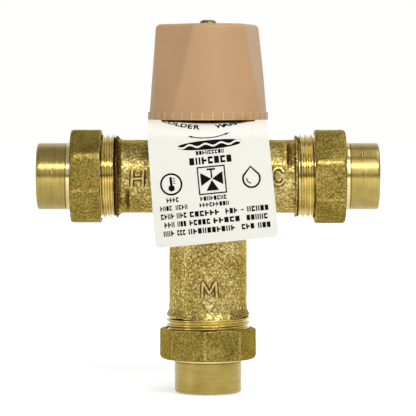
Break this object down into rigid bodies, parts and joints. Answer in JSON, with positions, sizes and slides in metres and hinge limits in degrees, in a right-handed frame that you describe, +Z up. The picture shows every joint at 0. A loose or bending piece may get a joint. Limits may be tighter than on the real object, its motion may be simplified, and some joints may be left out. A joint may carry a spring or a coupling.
{
  "type": "thermostatic mixing valve",
  "caption": "Tee-shaped mixing valve for hot and cold water: cast body, tapered adjusting cap, octagonal union nuts with solder tails, and a hanging tag.",
  "frame": {"origin": "centre of the mouth of the mixed outlet's solder socket, the lowest point", "axes": "+Z up along the spindle, +X out of the cold inlet, -X out of the hot inlet, -Y towards the hanging tag"},
  "size_m": [0.136, 0.0506, 0.1469],
  "materials": {
    "cast_bronze": "as cast and blasted, fine grain",
    "forged_brass": "forged and blasted, dull",
    "turned_brass": "turned, brushed round",
    "inner_brass": "turned, clean",
    "cap_plastic": "moulded, fine satin",
    "tag_plastic": "printed sheet, satin",
    "inner_plastic": "moulded",
    "black_rubber": "smooth",
    "fibre": "pressed fibre",
    "steel": "bright stainless"
  },
  "bodies": {
    "valve": {"valve_body": "cast_bronze", "bonnet": "inner_brass", "bonnet_o_ring": "black_rubber", "label_tag": "tag_plastic", "return_spring": "steel", "hot_tail": "turned_brass", "cold_tail": "turned_brass", "outlet_tail": "turned_brass", "hot_gasket": "fibre", "cold_gasket": "fibre", "outlet_gasket": "fibre", "hot_screen": "steel", "cold_screen": "steel", "hot_check_housing": "inner_plastic", "cold_check_housing": "inner_plastic", "hot_check_o_ring": "black_rubber", "cold_check_o_ring": "black_rubber", "hot_check_spring": "steel", "cold_check_spring": "steel"},
    "spindle": {"spindle": "inner_brass", "spindle_thrust_washer": "inner_plastic", "spindle_circlip": "steel", "spindle_o_ring_lower": "black_rubber", "spindle_o_ring_upper": "black_rubber"},
    "cap": {"cap": "cap_plastic", "cap_screw": "forged_brass"},
    "setting_nut": {"setting_nut": "inner_brass", "overload_snap_ring": "steel", "overload_spring": "steel"},
    "overload_plunger": {"overload_plunger": "inner_brass", "push_pin": "steel"},
    "shuttle": {"shuttle": "inner_plastic", "shuttle_o_ring": "black_rubber", "wax_element": "inner_brass"},
    "hot_check": {"hot_check_poppet": "inner_plastic", "hot_check_seal": "black_rubber"},
    "cold_check": {"cold_check_poppet": "inner_plastic", "cold_check_seal": "black_rubber"},
    "hot_slip_ring": {"hot_slip_ring": "steel"},
    "hot_union_nut": {"hot_union_nut": "forged_brass"},
    "cold_slip_ring": {"cold_slip_ring": "steel"},
    "cold_union_nut": {"cold_union_nut": "forged_brass"},
    "outlet_slip_ring": {"outlet_slip_ring": "steel"},
    "outlet_union_nut": {"outlet_union_nut": "forged_brass"}
  },
  "joints": [
    {"name": "cap_turn", "type": "hinge", "parent": "valve", "child": "spindle", "pos_m": [0, 0, 0.1273], "axis": [0, 0, 1], "range_deg": [-360, 360]},
    {"name": "cap_lift", "type": "slide", "parent": "spindle", "child": "cap", "axis": [0, 0, 1], "range_m": [0, 0.003]},
    {"name": "setting_nut_travel", "type": "slide", "parent": "valve", "child": "setting_nut", "axis": [0, 0, 1], "range_m": [-0.00151, 0.00151]},
    {"name": "overload_travel", "type": "slide", "parent": "setting_nut", "child": "overload_plunger", "axis": [0, 0, 1], "range_m": [0, 0.003], "stiffness_N_per_m": 800, "springref_m": -0.002, "deforming": ["overload_spring"]},
    {"name": "shuttle_travel", "type": "slide", "parent": "valve", "child": "shuttle", "axis": [0, 0, 1], "range_m": [-0.00095, 0.00095], "stiffness_N_per_m": 1500, "springref_m": 0.00018, "deforming": ["return_spring"]},
    {"name": "hot_check_travel", "type": "slide", "parent": "valve", "child": "hot_check", "axis": [1, 0, 0], "range_m": [0, 0.004], "stiffness_N_per_m": 60, "springref_m": -0.003, "deforming": ["hot_check_spring"]},
    {"name": "cold_check_travel", "type": "slide", "parent": "valve", "child": "cold_check", "axis": [-1, 0, 0], "range_m": [0, 0.004], "stiffness_N_per_m": 60, "springref_m": -0.003, "deforming": ["cold_check_spring"]},
    {"name": "hot_nut_travel", "type": "slide", "parent": "valve", "child": "hot_slip_ring", "axis": [-1, 0, 0], "range_m": [0, 0.00601]},
    {"name": "hot_nut_turn", "type": "hinge", "parent": "hot_slip_ring", "child": "hot_union_nut", "pos_m": [-0.0472, 0, 0.0853], "axis": [-1, 0, 0], "range_deg": [0, 1080]},
    {"name": "cold_nut_travel", "type": "slide", "parent": "valve", "child": "cold_slip_ring", "axis": [1, 0, 0], "range_m": [0, 0.00601]},
    {"name": "cold_nut_turn", "type": "hinge", "parent": "cold_slip_ring", "child": "cold_union_nut", "pos_m": [0.0472, 0, 0.0853], "axis": [1, 0, 0], "range_deg": [0, 1080]},
    {"name": "outlet_nut_travel", "type": "slide", "parent": "valve", "child": "outlet_slip_ring", "axis": [0, 0, -1], "range_m": [0, 0.00601]},
    {"name": "outlet_nut_turn", "type": "hinge", "parent": "outlet_slip_ring", "child": "outlet_union_nut", "pos_m": [0, 0, 0.0208], "axis": [0, 0, -1], "range_deg": [0, 1080]}
  ],
  "couplings": [
    {"joint": "setting_nut_travel", "follows": "cap_turn", "m_per_rad": 0.00023873},
    {"joint": "hot_nut_travel", "follows": "hot_nut_turn", "m_per_rad": 0.00031831},
    {"joint": "cold_nut_travel", "follows": "cold_nut_turn", "m_per_rad": 0.00031831},
    {"joint": "outlet_nut_travel", "follows": "outlet_nut_turn", "m_per_rad": 0.00031831}
  ]
}
